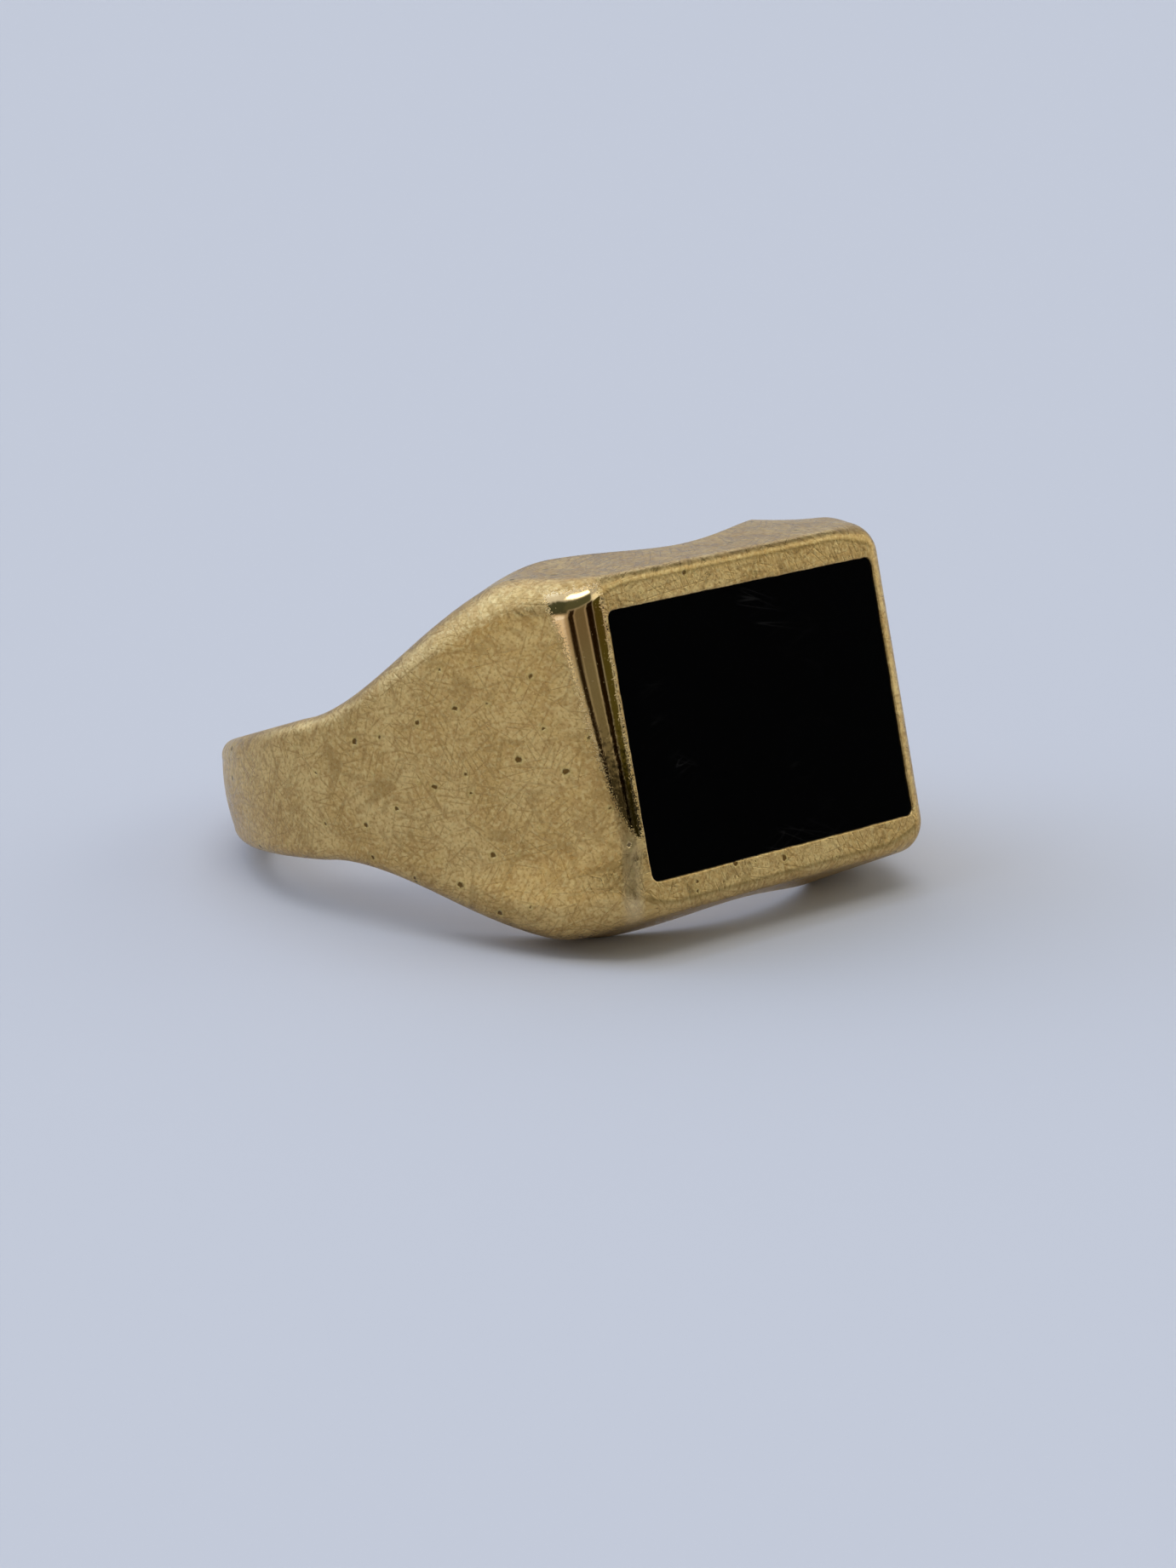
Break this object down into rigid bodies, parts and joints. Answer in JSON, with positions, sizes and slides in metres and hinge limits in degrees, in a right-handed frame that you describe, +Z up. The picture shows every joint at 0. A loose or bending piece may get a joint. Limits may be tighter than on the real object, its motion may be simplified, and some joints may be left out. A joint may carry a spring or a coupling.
{
  "type": "signet ring",
  "caption": "Gentleman's signet ring: a tapered gold band whose broad rectangular head holds a flat black onyx tablet, lying on its side.",
  "frame": {"origin": "on the ground plane, under the centre of the bounding box, with the ring lying on its side", "axes": "+Z up from the ground; the face of the head looks towards -Y and slightly up; +X runs round the finger across the head"},
  "size_m": [0.0228, 0.0246, 0.0132],
  "materials": {
    "yellow_gold": "worn satin with polished edges",
    "black_onyx": "polished",
    "setting_cement": "matt, grainy"
  },
  "bodies": {
    "root": {"ring_body": "yellow_gold", "onyx_tablet": "black_onyx", "cement_bed": "setting_cement"}
  },
  "joints": []
}
